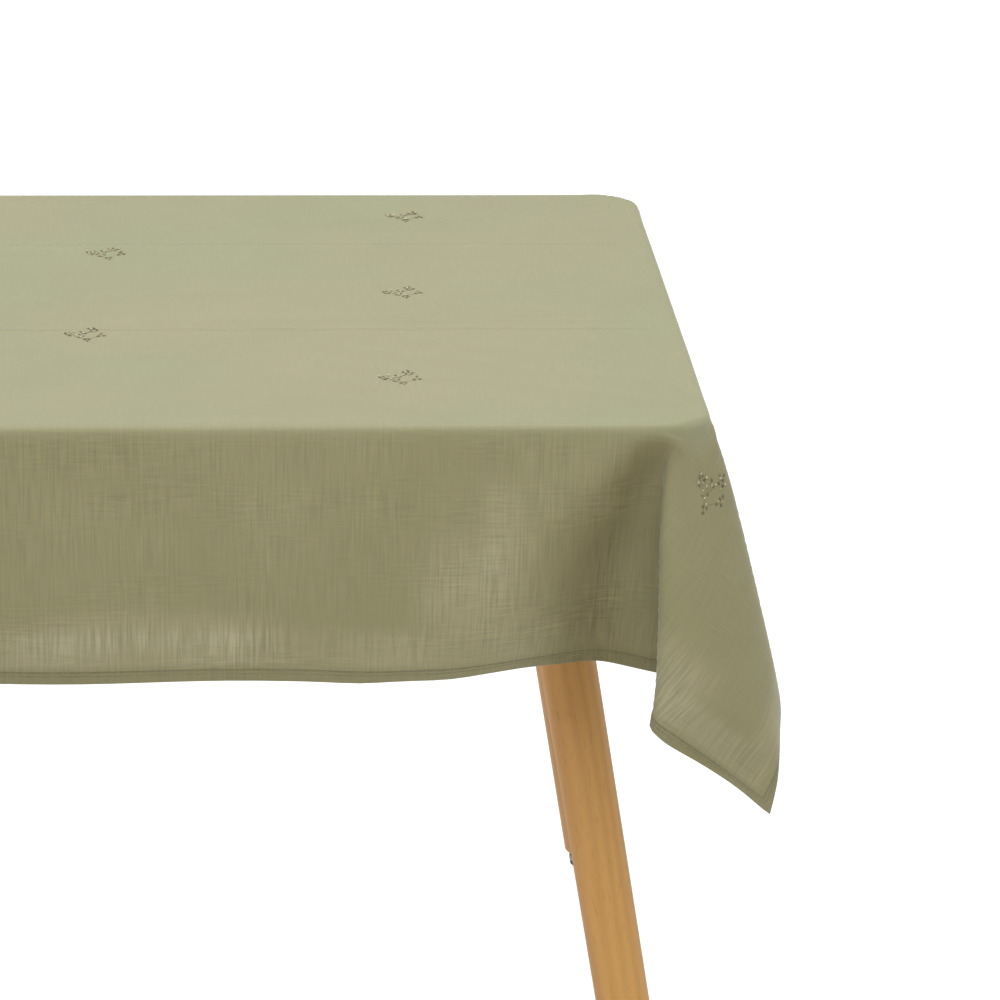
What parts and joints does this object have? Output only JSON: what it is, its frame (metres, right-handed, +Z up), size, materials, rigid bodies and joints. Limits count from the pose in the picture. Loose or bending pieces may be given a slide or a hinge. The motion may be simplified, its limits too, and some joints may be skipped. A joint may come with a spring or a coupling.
{
  "type": "tablecloth on a table",
  "caption": "Rectangular table with splayed round wooden legs on levelling glides, under a hemmed linen-look tablecloth with small embroidered sprigs and soft corner folds.",
  "frame": {"origin": "on the floor under the middle of the table, with the glides at their rest height", "axes": "+X along the table's length, -Y towards the front long side, +Z up"},
  "size_m": [2.0186, 1.0186, 0.7506],
  "materials": {
    "cloth_fabric": "sage green slub weave, linen look, matt",
    "sewing_thread": "matt polyester-cotton thread",
    "embroidery_thread": "stranded cotton, cream and dark olive",
    "tabletop_wood": "clear satin lacquer",
    "rail_wood": "planed, unfinished",
    "leg_wood": "honey beech, clear satin lacquer",
    "plate_steel": "black powder coat",
    "zinc_steel": "bright zinc",
    "glide_steel": "satin zinc",
    "glide_plastic": "moulded, matt"
  },
  "bodies": {
    "table": {"tabletop": "tabletop_wood", "stiffening_rail_front": "rail_wood", "stiffening_rail_back": "rail_wood", "rail_screws": "zinc_steel", "leg_front_left": "leg_wood", "leg_plate_front_left": "plate_steel", "leg_front_right": "leg_wood", "leg_plate_front_right": "plate_steel", "leg_back_left": "leg_wood", "leg_plate_back_left": "plate_steel", "leg_back_right": "leg_wood", "leg_plate_back_right": "plate_steel", "hanger_bolts": "zinc_steel", "plate_screws": "zinc_steel", "threaded_inserts": "zinc_steel"},
    "tablecloth": {"cloth_top": "cloth_fabric", "cloth_drop_front": "cloth_fabric", "cloth_drop_back": "cloth_fabric", "cloth_drop_left": "cloth_fabric", "cloth_drop_right": "cloth_fabric", "cloth_fold_front_left": "cloth_fabric", "cloth_fold_front_right": "cloth_fabric", "cloth_fold_back_left": "cloth_fabric", "cloth_fold_back_right": "cloth_fabric", "hem_front": "cloth_fabric", "hem_back": "cloth_fabric", "hem_left": "cloth_fabric", "hem_right": "cloth_fabric", "hem_fold_front_left": "cloth_fabric", "hem_stitching_front_left": "sewing_thread", "hem_fold_front_right": "cloth_fabric", "hem_stitching_front_right": "sewing_thread", "hem_fold_back_left": "cloth_fabric", "hem_stitching_back_left": "sewing_thread", "hem_fold_back_right": "cloth_fabric", "hem_stitching_back_right": "sewing_thread", "hem_stitching_sides": "sewing_thread", "embroidered_sprigs": "embroidery_thread"},
    "glide_front_left": {"glide_plate_front_left": "glide_steel", "glide_pad_front_left": "glide_plastic"},
    "glide_front_right": {"glide_plate_front_right": "glide_steel", "glide_pad_front_right": "glide_plastic"},
    "glide_back_left": {"glide_plate_back_left": "glide_steel", "glide_pad_back_left": "glide_plastic"},
    "glide_back_right": {"glide_plate_back_right": "glide_steel", "glide_pad_back_right": "glide_plastic"}
  },
  "joints": [
    {"name": "tablecloth_lift", "type": "slide", "parent": "table", "child": "tablecloth", "axis": [0, 0, 1], "range_m": [0, 0.45]},
    {"name": "glide_height_front_left", "type": "slide", "parent": "table", "child": "glide_front_left", "axis": [0, 0, 1], "range_m": [-0.01, 0.005]},
    {"name": "glide_height_front_right", "type": "slide", "parent": "table", "child": "glide_front_right", "axis": [0, 0, 1], "range_m": [-0.01, 0.005]},
    {"name": "glide_height_back_left", "type": "slide", "parent": "table", "child": "glide_back_left", "axis": [0, 0, 1], "range_m": [-0.01, 0.005]},
    {"name": "glide_height_back_right", "type": "slide", "parent": "table", "child": "glide_back_right", "axis": [0, 0, 1], "range_m": [-0.01, 0.005]}
  ]
}
